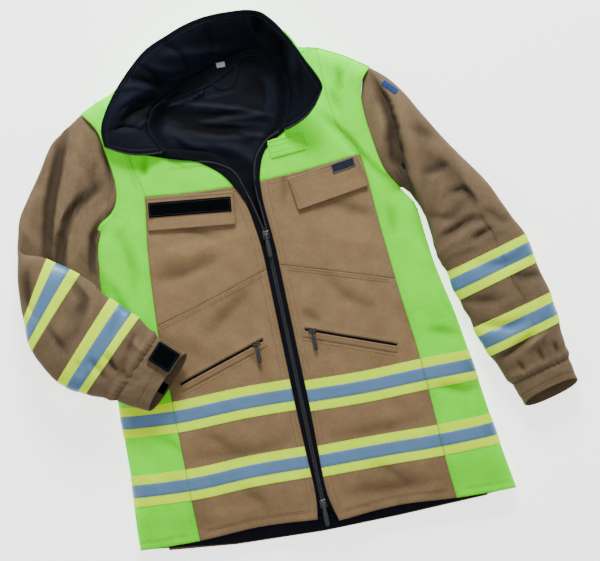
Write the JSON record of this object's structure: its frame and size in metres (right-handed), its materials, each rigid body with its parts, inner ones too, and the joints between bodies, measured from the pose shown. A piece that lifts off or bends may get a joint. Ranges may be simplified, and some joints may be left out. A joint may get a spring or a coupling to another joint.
{
  "type": "turnout coat",
  "caption": "Hip-length high-visibility turnout coat laid flat, with a two-way zip, a tall collar, reflective bands, chest flaps and zipped hand pockets.",
  "frame": {"origin": "on the outside of the back panel, under the line of the front zip, level with the middle of the body panels' height", "axes": "+Z out of the coat's front as it lies on its back, +Y along the front zip towards the collar, +X towards the wearer's left"},
  "size_m": [0.8479, 0.8452, 0.0968],
  "materials": {
    "shell_tan": "tight plain-weave outer shell, matt, tan",
    "shell_lime": "fluorescent yellow-green outer shell, matt",
    "lining_black": "soft near-black lining",
    "reflective_trim": "50 mm band, fluorescent yellow edges and a silver-grey retroreflective middle",
    "hook_and_loop": "black hook-and-loop pile",
    "patch": "small blank woven patch",
    "patch_blue": "small blank blue patch",
    "label_white": "small blank woven label",
    "webbing_black": "narrow black tape folded into a loop",
    "zip_metal": "black enamelled slider and pull",
    "zip_teeth": "black moulded teeth",
    "zip_tape": "black woven zip tape"
  },
  "bodies": {
    "coat": {"back_panel": "shell_tan", "back_yoke": "shell_lime", "side_panel_right": "shell_lime", "side_panel_left": "shell_lime", "front_right_upper": "shell_tan", "front_right_lower": "shell_tan", "front_left_upper": "shell_tan", "front_left_lower": "shell_tan", "front_right_yoke": "shell_lime", "front_left_yoke": "shell_lime", "back_lining": "lining_black", "front_right_lining": "lining_black", "front_left_lining": "lining_black", "storm_flap": "lining_black", "collar_shell": "shell_lime", "collar_lining": "lining_black", "sleeve_right_top": "shell_tan", "sleeve_right_under": "shell_tan", "forearm_right_top": "shell_tan", "forearm_right_under": "shell_tan", "sleeve_left_top": "shell_tan", "sleeve_left_under": "shell_tan", "sleeve_right_lining": "lining_black", "sleeve_left_lining": "lining_black", "cuff_right": "shell_tan", "cuff_left": "shell_tan", "cuff_tab_left": "shell_tan", "trim_front_right": "reflective_trim", "trim_front_left": "reflective_trim", "trim_side_right": "reflective_trim", "trim_side_left": "reflective_trim", "trim_back": "reflective_trim", "trim_sleeve_right": "reflective_trim", "trim_sleeve_left": "reflective_trim", "zip_tape_right": "zip_tape", "zip_tape_left": "zip_tape", "zip_teeth_right": "zip_teeth", "zip_teeth_left": "zip_teeth", "pocket_zip_right": "zip_tape", "pocket_zip_left": "zip_tape", "hand_pocket_bags": "lining_black", "chest_pocket_bags": "lining_black", "mic_tab": "shell_lime", "size_label": "label_white", "shoulder_patch": "patch_blue"},
    "slider_upper": {"slider_upper": "zip_metal"},
    "pull_upper": {"pull_upper": "zip_metal"},
    "slider_lower": {"slider_lower": "zip_metal"},
    "pull_lower": {"pull_lower": "zip_metal"},
    "pocket_slider_right": {"pocket_slider_right": "zip_metal"},
    "pocket_pull_right": {"pocket_pull_right": "zip_metal"},
    "pocket_slider_left": {"pocket_slider_left": "zip_metal"},
    "pocket_pull_left": {"pocket_pull_left": "zip_metal"},
    "chest_flap_right": {"chest_flap_right": "shell_tan", "flap_loop_strip": "hook_and_loop"},
    "chest_flap_left": {"chest_flap_left": "shell_tan", "blank_patch": "patch"},
    "cuff_tab_right": {"cuff_tab_right": "shell_tan", "cuff_tab_patch_right": "hook_and_loop"},
    "hanging_loop": {"hanging_loop": "webbing_black"}
  },
  "joints": [
    {"name": "upper_slider_slide", "type": "slide", "parent": "coat", "child": "slider_upper", "axis": [0, 1, 0], "range_m": [-0.245, 0]},
    {"name": "upper_pull_flip", "type": "hinge", "parent": "slider_upper", "child": "pull_upper", "pos_m": [0, 0.096, 0.0354], "axis": [-1, 0, 0], "range_deg": [0, 170]},
    {"name": "lower_slider_slide", "type": "slide", "parent": "coat", "child": "slider_lower", "axis": [0, 1, 0], "range_m": [0, 0.1]},
    {"name": "lower_pull_flip", "type": "hinge", "parent": "slider_lower", "child": "pull_lower", "pos_m": [0, -0.344, 0.0354], "axis": [-1, 0, 0], "range_deg": [0, 170]},
    {"name": "pocket_right_slide", "type": "slide", "parent": "coat", "child": "pocket_slider_right", "axis": [-0.9588, -0.284, 0], "range_m": [0, 0.115]},
    {"name": "pocket_right_pull_flip", "type": "hinge", "parent": "pocket_slider_right", "child": "pocket_pull_right", "pos_m": [-0.05167, -0.07027, 0.0354], "axis": [-1, 0, 0], "range_deg": [0, 170]},
    {"name": "pocket_left_slide", "type": "slide", "parent": "coat", "child": "pocket_slider_left", "axis": [0.9304, -0.3665, 0], "range_m": [0, 0.115]},
    {"name": "pocket_left_pull_flip", "type": "hinge", "parent": "pocket_slider_left", "child": "pocket_pull_left", "pos_m": [0.04044, -0.06893, 0.0354], "axis": [-1, 0, 0], "range_deg": [0, 170]},
    {"name": "chest_flap_right_lift", "type": "hinge", "parent": "coat", "child": "chest_flap_right", "pos_m": [-0.176, 0.1945, 0.0346], "axis": [-0.9917, 0.1288, 0], "range_deg": [0, 150]},
    {"name": "chest_flap_left_lift", "type": "hinge", "parent": "coat", "child": "chest_flap_left", "pos_m": [0.052, 0.1775, 0.0346], "axis": [-0.9917, -0.1288, 0], "range_deg": [0, 150]},
    {"name": "cuff_tab_right_lift", "type": "hinge", "parent": "coat", "child": "cuff_tab_right", "pos_m": [-0.1835, -0.0448, 0.0674], "axis": [-0.7133, 0.7009, 0], "range_deg": [0, 120]},
    {"name": "hanging_loop_swing", "type": "hinge", "parent": "coat", "child": "hanging_loop", "pos_m": [-0.015, 0.374, 0.0062], "axis": [-1, 0, 0], "range_deg": [0, 120]}
  ]
}
